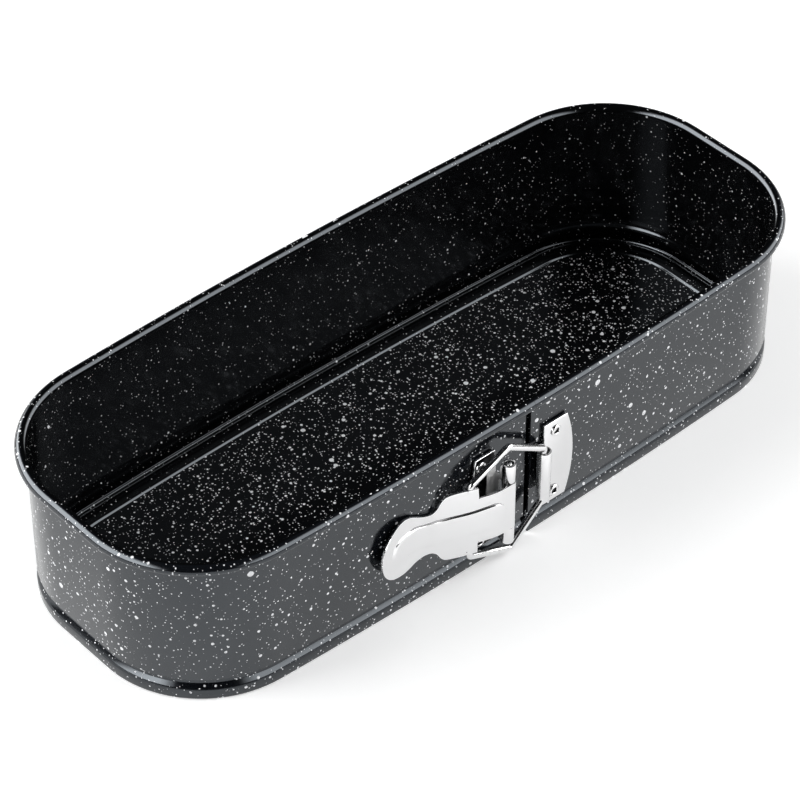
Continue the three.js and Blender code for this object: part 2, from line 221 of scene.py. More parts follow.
class Finish:
    """A procedural material, and the nodes that it is made with."""

    def __init__(self, name, **constants):
        self.material = bpy.data.materials.new(name)
        self.material.use_nodes = True
        self.tree = self.material.node_tree
        self.shader = self.tree.nodes["Principled BSDF"]
        for key, value in constants.items():
            self.shader.inputs[key.replace("_", " ")].default_value = value
        self.place = self.node("ShaderNodeTexCoord", {}, output="Object")

    def node(self, kind, settings, *values, output=0, **named):
        """Adds a node with settings and inputs. Returns one output, or the node itself if output is None."""
        made = self.tree.nodes.new(kind)
        for key, value in settings.items():
            setattr(made, key, value)
        for key, value in [*enumerate(values), *named.items()]:
            self.give(made.inputs[key if isinstance(key, int) else key.replace("_", " ")], value)
        if output is None:
            return made
        return Value(self, made.outputs[output])

    def give(self, socket, value):
        """Links a value to a socket, or sets the socket to a constant."""
        if isinstance(value, Value):
            self.tree.links.new(value.socket, socket)
        else:
            socket.default_value = value

    def noise(self, size, detail=2.0, place=None, roughness=0.5):
        """Noise whose features are about a size in millimetres."""
        return self.node("ShaderNodeTexNoise", {}, Vector=place or self.place, Scale=1 / (size * MM),
                         Detail=detail, Roughness=roughness, output="Fac")

    def mixed(self, share, low, high):
        """One colour to another. The node's first input is the share, its seventh and eighth are colours."""
        made = self.node("ShaderNodeMix", {"data_type": "RGBA"}, output=None)
        for number, value in ((0, share), (6, low), (7, high)):
            self.give(made.inputs[number], value)
        return Value(self, made.outputs[2])

    def flecks(self, size, share, reach, rarity, place):
        """Round spots in a share of the cells of a size in millimetres. The rarer, the fewer are large."""
        least, edge = 0.12, 0.11  # the smallest spot as a share of the reach, and the width of its soft edge
        cells = self.node("ShaderNodeTexVoronoi", {}, Vector=place, Scale=1 / (size * MM), output=None)
        chance = self.node("ShaderNodeSeparateColor", {}, Value(self, cells.outputs["Color"]))
        luck = ((chance - (1 - share)) / share).kept()
        present = (luck * 50.0).kept()
        radius = present * (least + (1 - least) * luck ** rarity) * (reach / size)
        return ((radius - Value(self, cells.outputs["Distance"])) * (size / edge)).kept()

    def set(self, key, value):
        self.tree.links.new(value.socket, self.shader.inputs[key])

    def bump(self, height, distance):
        """Bumps of a height in millimetres."""
        self.set("Normal", self.node("ShaderNodeBump", {}, Strength=1.0, Distance=distance * MM,
                                     Height=height, output="Normal"))


def times(colour, share):
    """A colour made lighter or darker."""
    return tuple(c * share for c in colour[:3]) + (1,)


# Kinds of fleck: the size of a cell, the share of cells that have one, the largest radius, and the rarity of
# large ones
OUTSIDE_FLECKS = [(7.0, 0.95, 1.35, 2.6), (2.4, 0.9, 0.66, 1.5), (1.1, 0.65, 0.36, 1)]
INSIDE_FLECKS = [(4.0, 0.6, 0.6, 2.4), (1.9, 0.7, 0.36, 1.8), (1.0, 0.5, 0.26, 1.2)]
BASE_FLECKS = [(4.0, 0.95, 1.0, 2.4), (1.9, 0.95, 0.6, 1.4), (1.0, 0.9, 0.36, 1)]
UNDER_FLECKS = [(5.0, 0.8, 1.2, 2.5), (2.2, 0.8, 0.6, 1.5)]
FLECK_WHITE = (0.97, 0.98, 1.0, 1)
FLECK_WARP_SIZE = 0.9
FLECK_WARP_REACH = 0.35
FLECK_TURN = (0.5, 0.6, 0.4)  # a turn in radians that keeps the cells' rows off the flat walls
CLOUD, WHITE_CLOUD, SMEAR, GRAIN, PEEL = 14, 2.2, 30, 1.3, 1.1  # sizes of the coating's noises
# The inside's and the base's blacks are darker than the outside's. This is painted shade for the inside of
# the pan.
OUTSIDE_BLACK = (0.0032, 0.0038, 0.005, 1)
INSIDE_BLACK_PAINTED_SHADE = (0.0011, 0.0012, 0.0014, 1)
BASE_BLACK_PAINTED_SHADE = (0.0022, 0.0024, 0.0028, 1)


def enamel(name, flecks, dark=OUTSIDE_BLACK, gloss=0.08):
    """Black glossy coating with white flecks of several kinds."""
    finish = Finish(name, IOR=1.62, Specular_Tint=(0.86, 0.93, 1, 1))
    warp = finish.node("ShaderNodeTexNoise", {}, Vector=finish.place, Scale=1 / (FLECK_WARP_SIZE * MM),
                       output="Color")
    turned_place = finish.node("ShaderNodeMapping", {}, Vector=finish.place, Rotation=FLECK_TURN)
    moved = finish.node("ShaderNodeVectorMath", {"operation": "MULTIPLY_ADD"}, warp,
                        (FLECK_WARP_REACH * MM,) * 3, turned_place)
    spots = finish.flecks(*flecks[0], moved)
    for kind in flecks[1:]:
        spots = spots.highest(finish.flecks(*kind, moved))
    tone = finish.mixed(finish.noise(CLOUD, 3), dark, times(dark, 1.7))
    fleck_tone = finish.mixed(finish.noise(WHITE_CLOUD), times(FLECK_WHITE, 0.85), FLECK_WHITE)
    finish.set("Base Color", finish.mixed(spots, tone, fleck_tone))
    finish.set("Roughness", gloss + 0.05 * finish.noise(SMEAR) + 0.25 * spots + 0.04 * finish.noise(GRAIN))
    finish.bump(0.6 * finish.noise(PEEL, 3) + 0.5 * spots, 0.012)
    return finish.material


DRAW_STRETCH = (0.25, 1, 4)  # draws the lines out along the latch
DRAW_LINE, NICKEL_CLOUD, WEAR, WAVE = 0.9, 9, 2.4, 7  # sizes of the plate's noises
WEAR_START = 0.56


def nickel(name, gloss, colour, metal=1.0):
    """Nickel plate, with faint draw lines, soft waves and a little wear."""
    finish = Finish(name, Metallic=metal)
    stretched = finish.node("ShaderNodeMapping", {}, Vector=finish.place, Scale=DRAW_STRETCH)
    lines = finish.noise(DRAW_LINE, 4, stretched, 0.7)
    clouds = finish.noise(NICKEL_CLOUD, 3)
    wear = ((finish.noise(WEAR, 5) - WEAR_START) * 5.0).kept()
    finish.set("Base Color", finish.mixed(wear * 0.5 + clouds * 0.3, colour, times(colour, 0.88)))
    finish.set("Roughness", gloss + 0.05 * clouds + 0.05 * lines + 0.1 * wear)
    finish.bump(0.6 * finish.noise(WAVE, 1) + 0.05 * lines, 0.04)
    return finish.material


outside = enamel("fleck_enamel_outside", OUTSIDE_FLECKS)
# The inside's and the base's coatings take the darker blacks, which are painted shade inside the pan.
inside = enamel("fleck_enamel_inside", INSIDE_FLECKS, INSIDE_BLACK_PAINTED_SHADE)
floor_flecks = enamel("fleck_enamel_base", BASE_FLECKS, BASE_BLACK_PAINTED_SHADE)
hidden_side = enamel("fleck_enamel_under", UNDER_FLECKS, gloss=0.3)
matt_nickel = nickel("matt_nickel", 0.4, (0.97, 0.97, 0.97, 1), metal=0.0)
# Near-black nickel is painted shade. It goes on the bracket plate's face and in the rivets' dimples.
painted_shade_nickel = nickel("painted_shade_nickel", 0.25, (0.02, 0.02, 0.021, 1))
plated = nickel("bright_nickel", 0.09, (0.9, 0.9, 0.905, 1))
wire_plate = nickel("drawn_nickel", 0.1, (0.84, 0.84, 0.845, 1))


# The pan's plan: long arcs at the sides and round corners. An inset is measured from the rim's outer edge.

SIDE_RADIUS = 2300
CORNER_RADIUS = 45
CORNER_X = 105
CORNER_Y = 12.55
HALF_WIDTH = 60
SIDE_CENTRE = SIDE_RADIUS - HALF_WIDTH
SIDE_END = math.degrees(math.atan2(CORNER_X, CORNER_Y + SIDE_CENTRE))  # degrees from the side's middle
SIDE_END_X = SIDE_RADIUS * math.sin(math.radians(SIDE_END))
BACK_STEPS = 36
WALL_INSET = 3.6
WALL_TOP = 60.4


def wall_y(x):
    """Where the front wall's face stands at x."""
    return SIDE_CENTRE - math.sqrt((SIDE_RADIUS - WALL_INSET) ** 2 - x ** 2)


def angle_at(x):
    """Degrees along the side from its middle to x."""
    return math.degrees(math.asin(x / SIDE_RADIUS))


def inset_from_rim(point):
    """How far a place is inside the rim's outer edge."""
    x, y = abs(point.x / MM), abs(point.y / MM)
    if x < SIDE_END_X:
        return SIDE_RADIUS - math.hypot(x, y + SIDE_CENTRE)
    return CORNER_RADIUS - math.hypot(x - CORNER_X, max(y - CORNER_Y, 0))


def looks_outward(face):
    """Whether a face of the band looks out of the pan."""
    middle = Vector((max(-CORNER_X, min(CORNER_X, face.center.x / MM)) * MM, 0, face.center.z))
    return (face.center - middle).dot(face.normal) > 0


def section_drawn(name, rows, filled=True, segments=3):
    """A section at the front's middle, from rows of inset, height and rounding."""
    points = [(0, inset - HALF_WIDTH, height) for inset, height, _ in rows]
    obj = drawn(name, points, filled)
    for point, (_, _, run) in zip(points, rows):
        if run:
            rounded(obj, point, run, segments)
    return obj


def moved_to(obj, x):
    """Moves a section drawn at the front's middle along the front to x."""
    centre = at(0, SIDE_CENTRE, 0)
    spin = Matrix.Rotation(math.radians(angle_at(x)), 4, "Z")
    bpy.ops.object.mode_set(mode="OBJECT")
    obj.data.transform(Matrix.Translation(centre) @ spin @ Matrix.Translation(-centre))
    bpy.ops.object.mode_set(mode="EDIT")
    bpy.ops.mesh.select_all(action="SELECT")


def turned(degrees, x, y, steps):
    """Spins what is selected anticlockwise, seen from above, and keeps its last copy selected."""
    bpy.ops.mesh.spin(steps=steps, angle=math.radians(degrees), center=at(x, y, 0), axis=(0, 0, -1))


def along_front(start, stop, steps):
    """Draws what is selected along the front from one x to another."""
    turned(angle_at(stop) - angle_at(start), 0, SIDE_CENTRE, steps)


def round_the_back(steps):
    """From the front's right end round to its left end, with a number of steps at each corner."""
    corner = 90 - SIDE_END
    turned(corner, CORNER_X, -CORNER_Y, steps)
    pull(at(0, 2 * CORNER_Y, 0))
    turned(corner, CORNER_X, CORNER_Y, steps)
    turned(2 * SIDE_END, 0, -SIDE_CENTRE, BACK_STEPS)
    turned(corner, -CORNER_X, CORNER_Y, steps)
    pull(at(0, -2 * CORNER_Y, 0))
    turned(corner, -CORNER_X, -CORNER_Y, steps)


# Side band: a wall with a foot channel, a rolled rim, and a tongue behind the seam

SPLIT_X = 100  # where the springy stretch of the front begins
FRONT_STEPS = 40
END_STEPS = 3  # from the split to the end of the side's arc
CORNER_STEPS = 22
SEAM_LEFT, SEAM_RIGHT = -0.5, 1.9
RIM_SEAM_LEFT, RIM_SEAM_RIGHT = 0.65, 0.75

# Rows of inset, height and rounding: the outer face from the rim down, then the inner face upwards
SECTION = [
    (WALL_INSET, WALL_TOP, 0), (WALL_INSET, 8.75, 0.3), (4.9, 8.1, 0.3), (4.9, 6.3, 0.2), (3.75, 4.7, 0.15),
    (3.4, 3.95, 0.15), (3.4, 0, 0.55), (9.4, 0, 0.3), (9.4, 0.7, 0.3),
    (4.1, 0.7, 0.4), (4.1, 4.6, 0.5), (5.5, 6.5, 0.5), (5.5, 7.4, 0.6), (4.75, 8.6, 0.5), (4.3, 10.6, 0.8),
    (4.3, WALL_TOP, 0),
]

RIM_INSET, RIM_Z, RIM_RADIUS, RIM_TURN = 2.215, 60.34, 2.2, 200
RIM_STEPS = 24
RIM_TUCK = [(0.9, 58.9), (1.9, 58.3), (3.8, 58.3)]

TONGUE_HALF = 8.5
TONGUE_FACE, TONGUE_BACK = 5.2, 5.8
TONGUE_LOW, TONGUE_HIGH = 9.8, 57.0
TONGUE_STEPS = 8
TONGUE_EDGE = (0.18, 2, 30)


def wall_section(name):
    return section_drawn(name, SECTION)


def rim_section(name):
    """The rolled rim's section: round above, and tucked in below towards the wall."""
    crown = on_circle(RIM_INSET, RIM_Z, RIM_RADIUS, 0, RIM_TURN, RIM_STEPS)
    return section_drawn(name, [(inset, height, 0) for inset, height in crown + RIM_TUCK])


def band_piece(section, name, start, stop, round_back=False):
    """A section drawn along the front, straight to its stop or round the back of the pan."""
    obj = section(name)
    moved_to(obj, start)
    if round_back:
        along_front(start, SIDE_END_X, END_STEPS)
        round_the_back(CORNER_STEPS)
        start = -SIDE_END_X
    along_front(start, stop, FRONT_STEPS)
    end()
    smooth(obj)
    # The band's inner faces take the inside coating, with its painted shade.
    painted(obj, outside, inside, choose=lambda face: 0 if looks_outward(face) else 1)
    return obj


def tongue():
    """The left end carried on behind the seam."""
    rows = [(TONGUE_FACE, TONGUE_HIGH, 0), (TONGUE_FACE, TONGUE_LOW, 0), (TONGUE_BACK, TONGUE_LOW, 0),
            (TONGUE_BACK, TONGUE_HIGH, 0)]
    obj = section_drawn("band_tongue", rows)
    moved_to(obj, -TONGUE_HALF)
    along_front(-TONGUE_HALF, TONGUE_HALF, TONGUE_STEPS)
    end()
    softened(obj, *TONGUE_EDGE)
    smooth(obj)
    painted(obj, inside)
    return obj


wall_spring = band_piece(wall_section, "band_wall_spring", SEAM_RIGHT, SPLIT_X)
wall_rest = band_piece(wall_section, "band_wall", SPLIT_X, SEAM_LEFT, round_back=True)
bead_spring = band_piece(rim_section, "band_bead_spring", RIM_SEAM_RIGHT, SPLIT_X)
bead_rest = band_piece(rim_section, "band_bead", SPLIT_X, RIM_SEAM_LEFT, round_back=True)
tongue_piece = tongue()

for piece in (wall_spring, bead_spring):
    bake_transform(piece)
for piece in (wall_rest, bead_rest, tongue_piece):
    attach(piece, "band")
for piece in (wall_spring, bead_spring, wall_rest, bead_rest, tongue_piece):
    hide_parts("side_band")


# Base: a flat panel, one step up to its border, and a turned-up edge

BASE_PANEL_Z = 0.35
BASE_LINE = [
    (20, BASE_PANEL_Z, 0), (12.9, BASE_PANEL_Z, 0.3), (12.2, 1.05, 0.3), (6.65, 1.05, 0.5), (6.65, 2.2, 0.2),
    (6.25, 2.65, 0),
]
BASE_SHEET = 0.7
BASE_EDGE = (0.3, 4, 60)
BASE_PANEL_INSET = 12.95  # the panel's face begins here
BASE_FRONT_STEPS = 20
BASE_CORNER_STEPS = 28
LEVEL = 0.1  # edges this near the panel's height lie in it
DOWNWARD, UPWARD = -0.2, 0.9  # a face whose normal's Z is past these looks down or up


def base_sheet():
    """The tray as a sheet without thickness."""
    obj = section_drawn("base_tray", BASE_LINE, filled=False, segments=4)
    moved_to(obj, 0)
    along_front(0, SIDE_END_X, BASE_FRONT_STEPS)
    round_the_back(BASE_CORNER_STEPS)
    along_front(-SIDE_END_X, 0, BASE_FRONT_STEPS)
    bpy.ops.mesh.select_all(action="SELECT")
    bpy.ops.mesh.remove_doubles(threshold=WELD * MM)
    panel = (BASE_PANEL_Z + LEVEL) * MM
    pick(obj, "edges", lambda e: e.is_boundary and max(v.co.z for v in e.verts) < panel)
    bpy.ops.mesh.edge_face_add()
    end()
    if sum(face.normal.z for face in obj.data.polygons) < 0:
        obj.data.flip_normals()
    return obj


def base_finish(face):
    """Flecked panel, plain border and edge, and a duller underside."""
    if face.normal.z < DOWNWARD:
        return 2
    return 1 if inset_from_rim(face.center) > BASE_PANEL_INSET and face.normal.z > UPWARD else 0


def base_tray():
    obj = base_sheet()
    thickened(obj, BASE_SHEET, even=True)
    softened(obj, *BASE_EDGE)
    smooth(obj, 40)
    # The border and the panel take the darker blacks, which are painted shade inside the pan.
    painted(obj, inside, floor_flecks, hidden_side, choose=base_finish)
    return obj


base = base_tray()
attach(base, "base")
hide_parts("base_plate")


# Latch. Its heights are measured from its middle. The pairs in its outlines are an x and a height, where no
# comment says otherwise.

LATCH_Z = 28.0
PIN_X, PIN_Y = -13.8, -62.85
EYE_X, EYE_Y = -29.3, -60.0
PLATE_BACK, PLATE_FRONT = -56.7, -57.7
PLATE_EDGE = (0.28, 3, 50)
ROLLED_EDGE = (0.2, 2, 50)


def up(height):
    """A height above the floor, from one above the latch's middle."""
    return LATCH_Z + height


def plate(name, outline):
    """A flat plate on the wall, with softened edges."""
    obj = drawn(name, [(x, PLATE_BACK, up(z)) for x, z in outline])
    pull(at(0, PLATE_FRONT - PLATE_BACK, 0))
    end()
    softened(obj, *PLATE_EDGE)
    return obj


def rolled(name, line, low, high, thickness):
    """A sheet that follows a line in plan and stands between two heights."""
    obj = drawn(name, [(x, y, up(low)) for x, y in line], filled=False)
    pull(at(0, 0, high - low))
    end()
    thickened(obj, thickness, even=True)
    softened(obj, *ROLLED_EDGE)
    return obj


def dressed(obj, body, node, material=plated, degrees=35):
    """Shades and paints a piece of the latch, ties it to its body and hides the part that it stands in for.
    """
    smooth(obj, degrees)
    painted(obj, material)
    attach(obj, body)
    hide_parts(node)
    return obj


# Keeper: a plate with a bulged right side, rolled into a barrel on its left

KEEPER_LEFT, KEEPER_WIDTH, KEEPER_HALF, KEEPER_BULGE = 7.1, 14.0, 18.2, 3.1
KEEPER_WEB = [(10.0, -57.2), (8.4, -57.22), (7.3, -57.5)]  # x and y, from the plate to the barrel
KEEPER_BARREL_X, KEEPER_BARREL_RADIUS, KEEPER_SHEET = 5.2, 2.15, 0.75
KEEPER_BARREL_LOW, KEEPER_BARREL_HIGH = -10.6, 10.2
KEEPER_SIDE_STEPS = 24
KEEPER_CURL = (75, 400, 26)  # from one angle to another, in steps


def keeper():
    radius = (KEEPER_HALF ** 2 + KEEPER_BULGE ** 2) / (2 * KEEPER_BULGE)
    swing = math.degrees(math.asin(KEEPER_HALF / radius))
    curve = on_circle(KEEPER_LEFT + KEEPER_WIDTH - radius, 0, radius, -swing, swing,
                      KEEPER_SIDE_STEPS)
    front = plate("keeper_front", [(KEEPER_LEFT, KEEPER_HALF), (KEEPER_LEFT, -KEEPER_HALF)] + curve)
    curl = on_circle(KEEPER_BARREL_X, EYE_Y, KEEPER_BARREL_RADIUS, *KEEPER_CURL)
    barrel = rolled("keeper_barrel", KEEPER_WEB + curl, KEEPER_BARREL_LOW, KEEPER_BARREL_HIGH, KEEPER_SHEET)
    return joined("keeper", [front, barrel])


dressed(keeper(), "band_end", "keeper_plate")


# Bracket: a plate on the wall, a tab that stands out from it, and two knuckles on the tab's arms

BRACKET_LEFT, BRACKET_RIGHT, BRACKET_LOW, BRACKET_HIGH = -25.2, -15.4, -19.4, 21.4
BRACKET_OUTLINE = [
    (BRACKET_LEFT, BRACKET_LOW + 6.6), (BRACKET_LEFT + 1.2, BRACKET_LOW), (BRACKET_RIGHT, BRACKET_LOW),
    (BRACKET_RIGHT, BRACKET_HIGH), (BRACKET_LEFT + 1.0, BRACKET_HIGH), (BRACKET_LEFT, BRACKET_HIGH - 5.6),
]
TAB_X, TAB_SHEET = PIN_X - 2.3, 0.8
TAB_OUTLINE = [  # y and height, with the two arms that reach out to the pin
    (-57.2, -11.6), (-57.2, 11.6), (-60.6, 13.2), (-60.9, 16.8), (PIN_Y, 16.8), (PIN_Y, 10.4), (-60.3, 10.4),
    (-60.3, -10.4), (PIN_Y, -10.4), (PIN_Y, -16.2), (-60.9, -16.2), (-60.6, -13.2),
]
KNUCKLE_START_Y, KNUCKLE_RADIUS, KNUCKLE_SHEET = -61.2, 1.9, 0.78
KNUCKLE_CURL = (180, 470, 24)
KNUCKLE_UPPER = (10.4, 18.0)
KNUCKLE_LOWER = (-17.3, -10.4)
TAB_EDGE = (0.18, 2, 40)
RISER_OUTLINE = [(-19.8, -12.6), (-15.6, -12.6), (-15.6, 15.0), (-19.8, 15.0)]
RISER_BACK, RISER_SHEET = PLATE_FRONT + 0.2, 0.8
RISER_FRONT = RISER_BACK - RISER_SHEET
RISER_EDGE = (0.25, 2, 40)
FORWARD = -0.97  # a face whose normal's Y is below this looks straight out


def bracket_tab():
    """The tab with its two arms."""
    obj = drawn("bracket_tab", [(TAB_X, y, up(z)) for y, z in TAB_OUTLINE])
    pull(at(TAB_SHEET, 0, 0))
    end()
    softened(obj, *TAB_EDGE)
    return obj


def knuckle(name, low, high):
    """A sheet that leaves the tab and rolls round the pin."""
    curl = on_circle(PIN_X, PIN_Y, KNUCKLE_RADIUS, *KNUCKLE_CURL)
    return rolled(name, [(TAB_X + TAB_SHEET / 2, KNUCKLE_START_Y)] + curl, low, high, KNUCKLE_SHEET)


def riser():
    """A raised strip on the plate's face."""
    obj = drawn("bracket_riser", [(x, RISER_BACK, up(z)) for x, z in RISER_OUTLINE])
    pull(at(0, -RISER_SHEET, 0))
    end()
    softened(obj, *RISER_EDGE)
    return obj


def bracket():
    return joined("bracket", [
        plate("bracket_front", BRACKET_OUTLINE),
        bracket_tab(),
        knuckle("bracket_curl_upper", *KNUCKLE_UPPER),
        knuckle("bracket_curl_lower", *KNUCKLE_LOWER),
        riser(),
    ])


def bracket_finish(face):
    """The plate's face is painted near black, as painted shade where the lever shades it, and the riser's is
    matt.
    """
    y = face.center.y / MM
    if face.normal.y > FORWARD or y < RISER_FRONT - 0.1:
        return 0
    return 2 if y < RISER_FRONT + 0.2 else 1


painted(dressed(bracket(), "band", "hinge_bracket"), plated, painted_shade_nickel, matt_nickel, choose=bracket_finish)


# Pin and rivets

PIN_RADIUS, PIN_LENGTH, PIN_MIDDLE = 1.0, 34.9, 0.42
PIN_EDGE = (0.4, 4, 50)
ROUND_STEPS = 28
DIMPLE_RADIUS, DIMPLE_FLOOR = 1.2, -57.0
# Distance from the axis and y, from the dimple's floor round the head's edge to the shank
RIVET_HEAD = [
    (0, DIMPLE_FLOOR), (0.95, DIMPLE_FLOOR), (1.15, -58.2), (1.35, -58.45), (1.75, -58.45), (2.15, -58.2),
    (2.25, -57.6), (1.25, -57.6),
]
# Distance from the axis and distance behind the wall's face
RIVET_TAIL = [(1.25, 1.0), (2.3, 1.0), (2.3, 1.45), (2.1, 1.6), (0, 1.6)]
# Name, x, height above the floor, body and node
RIVETS = [
    ("keeper_stud_upper", 12.4, 41.8, "band_end", "keeper_rivet_upper"),
    ("keeper_stud_lower", 12.4, 14.2, "band_end", "keeper_rivet_lower"),
    ("bracket_stud_upper", -22.0, 45.4, "band", "bracket_rivet_upper"),
    ("bracket_stud_lower", -22.0, 11.5, "band", "bracket_rivet_lower"),
]


def pin():
    deselect()
    bpy.ops.mesh.primitive_cylinder_add(vertices=ROUND_STEPS, radius=PIN_RADIUS * MM, depth=PIN_LENGTH * MM,
                                        location=at(PIN_X, PIN_Y, up(PIN_MIDDLE)))
    bpy.ops.object.transform_apply(location=True, rotation=True, scale=True)
    obj = begin("pivot_pin")
    end()
    softened(obj, *PIN_EDGE)
    return obj


def rivet(name, x, z):
    """A dimpled head on the plate, with a flat head on the band's inner side."""
    profile = RIVET_HEAD + [(across, wall_y(x) + behind) for across, behind in RIVET_TAIL]
    obj = drawn(name, [(x + across, y, z) for across, y in profile], filled=False)
    bpy.ops.mesh.spin(steps=ROUND_STEPS, angle=2 * math.pi, center=at(x, 0, z), axis=(0, 1, 0))
    end()
    return obj


def riveted(name, x, z, body, node):
    """A rivet in its place, with painted shade in its dimple."""
    obj = dressed(rivet(name, x, z), body, node, degrees=60)

    def in_dimple(face):
        away = math.hypot(face.center.x / MM - x, face.center.z / MM - z)
        return 1 if away < DIMPLE_RADIUS and face.center.y < (DIMPLE_FLOOR + 0.1) * MM else 0

    painted(obj, plated, painted_shade_nickel, choose=in_dimple)


dressed(pin(), "band", "hinge_pin")
for row in RIVETS:
    riveted(*row)


# Lever: a sheet rolled round the pin, with wings, a waist, a spoon-shaped tip and a long raised rib.
# A share runs along it, from 0 at the pin to 1 at the tip.

LEVER_LENGTH = 52.8
LEVER_SHEET = 0.8
LEVER_EDGE = (0.1, 2, 75)
CURL_RADIUS = 2.05
CURL_ANGLES = range(150, -90, -12)
HALF_BARREL = 10.1
STAND_OFF = 0.8
BEND_RISE = 7.55
FLARE_RISE = 2.4
TIP_HALF = 0.35
INNER_SHARE = 0.94  # where the rows beside the rib begin, as a share of the half height

# Pairs of a share and a value there: a part of the BEND_RISE, a part of the FLARE_RISE, half the height of
# the wings, the height of the lever's middle and the height of the rib's middle
BEND = [(0, 1), (0.12, 0.96), (0.254, 0.69), (0.35, 0.42), (0.454, 0.14), (0.55, 0), (0.7, 0)]
FLARE = [(0.7, 0), (0.82, 0.25), (0.92, 0.65), (1.05, 1.2)]
WING = [(0.254, 14.6), (0.43, 14.5), (0.46, 14.1), (0.485, 12.9), (0.514, 10.4), (0.54, 9.3), (0.58, 8.75),
        (0.62, 8.95), (0.68, 10), (0.74, 11.5), (0.785, 12.1)]
MIDDLE = [(0, 0), (0.254, -0.1), (0.5, -0.4), (0.54, -0.3), (0.62, 0.8), (0.68, 1.4), (0.75, 1.8), (0.8, 1.7),
          (0.9, 1.3), (1, 0.7)]
RIB_MIDDLE = [(0.06, -0.1), (0.14, -0.1), (0.335, -0.9), (0.44, -0.95), (0.53, -0.45), (0.62, 0.95),
              (0.69, 1.95), (0.77, 2.1), (0.83, 1.8), (0.9, 1.5)]
WING_START, WING_STOP = WING[0][0], WING[-1][0]
BARREL_STOP = 0.252  # the last column that is as short as the barrel
SHOULDER = 0.2538  # where that column's two corners go, to leave the wing a square shoulder
RIB_NEAR, RIB_FAR, RIB_HALF, RIB_HEIGHT = 3.4, 47.2, 4.75, 0.66
RIB_SOFT_START, RIB_SOFT_RUN = 0.7, 0.12
RIB_UPPER, RIB_UPPER_SOFT = 0.09, 1.3  # width of the rib's upper side, and what the spoon adds to it
RIB_LOWER, RIB_LOWER_SOFT = 0.5, 0.9
FIRST_SHARES = [0, 0.02, 0.04]
RIB_NEAR_LEAD, RIB_FAR_LEAD = 0.003, 0.018  # how far the crowded columns reach past the rib
RIB_END_STEPS, BARREL_STEPS, HANDLE_STEPS, TIP_STEPS = 12, 10, 70, 12
ROW_COUNTS = (6, 8, 6, 8, 8, 6, 8, 6)  # rows from each stop to the next across the lever
SHOULDER_ROWS = 0.3  # the rows this near the barrel's end go to the shoulder


def through(points, share):
    """A smooth rise or fall through a list of points."""
    share = max(points[0][0], min(points[-1][0], share))
    slopes = [(b[1] - a[1]) / (b[0] - a[0]) for a, b in zip(points, points[1:])]
    knots = [slopes[0]] + [(s + t) / 2 if s * t > 0 else 0 for s, t in zip(slopes, slopes[1:])] + [slopes[-1]]
    i = max(j for j in range(len(points) - 1) if points[j][0] <= share)
    (ax, ay), (bx, by) = points[i], points[i + 1]
    run = bx - ax
    t = (share - ax) / run
    return (ay * (1 + 2 * t) * (1 - t) ** 2 + by * eased(t)
            + run * (knots[i] * t * (1 - t) ** 2 - knots[i + 1] * t * t * (1 - t)))


def eased(t):
    """A smooth step from 0 to 1."""
    return t * t * (3 - 2 * t)


def half_span(share):
    """Half of the lever's height at a share."""
    if share < WING_START:
        return HALF_BARREL
    if share < WING_STOP:
        return through(WING, share)
    t = (share - WING_STOP) / (1 - WING_STOP)
    return max(TIP_HALF, WING[-1][1] * math.sqrt(max(0, 1 - t * t)))


def past_rib(share):
    """How far a place is past the middle of either round end of the rib, and 0 between them."""
    x = LEVER_LENGTH * share
    return x - max(RIB_NEAR + RIB_HALF, min(RIB_FAR - RIB_HALF, x))


def rib_half(share, wider):
    """Half of the round-ended rib's height at a share."""
    return math.sqrt(max(0, (RIB_HALF + wider) ** 2 - past_rib(share) ** 2))


def rib_sides(share):
    """Widths of the rib's upper and lower side: crisp along the handle and soft in the spoon."""
    soft = max(0, min(1, (share - RIB_SOFT_START) / RIB_SOFT_RUN))
    return RIB_UPPER + RIB_UPPER_SOFT * soft, RIB_LOWER + RIB_LOWER_SOFT * soft


def lever_rows(share, by_barrel):
    """Heights of the sheet's rows at a share, with rows along the rib's foot and along its top edge."""
    half = HALF_BARREL if by_barrel else half_span(share)
    middle, rib = through(MIDDLE, share), through(RIB_MIDDLE, share)
    high, low = rib_sides(share)
    inner = INNER_SHARE * min(HALF_BARREL, half)
    stops = [middle - half, middle - inner,
             rib - rib_half(share, low / 2), rib - rib_half(share, -low / 2), rib,
             rib + rib_half(share, -high / 2), rib + rib_half(share, high / 2),
             middle + inner, middle + half]
    rows = [stops[0]]
    for start, stop, count in zip(stops, stops[1:], ROW_COUNTS):
        rows += [start + (stop - start) * (i + 1) / count for i in range(count)]
    return rows


def lever_height(share, z):
    """How far the middle of the sheet stands off the wall."""
    across = z - through(RIB_MIDDLE, share)
    away = math.hypot(past_rib(share), across)
    high, low = rib_sides(share)
    upper = eased((across / away + 1) / 2 if away else 0.5)
    slope = max(0, min(1, (RIB_HALF - away) / (low + (high - low) * upper) + 0.5))
    flare = through(FLARE, share) if share > FLARE[0][0] else 0
    return STAND_OFF + BEND_RISE * through(BEND, share) + FLARE_RISE * flare + RIB_HEIGHT * eased(slope)


def evenly(start, stop, steps):
    """Shares from the start up to the stop, without it."""
    return [start + (stop - start) * i / steps for i in range(steps)]


def crowded(start, stop, steps):
    """Shares from the start up to the stop, without it, that crowd towards both."""
    return [start + (stop - start) * (1 - math.cos(math.pi * i / steps)) / 2 for i in range(steps)]


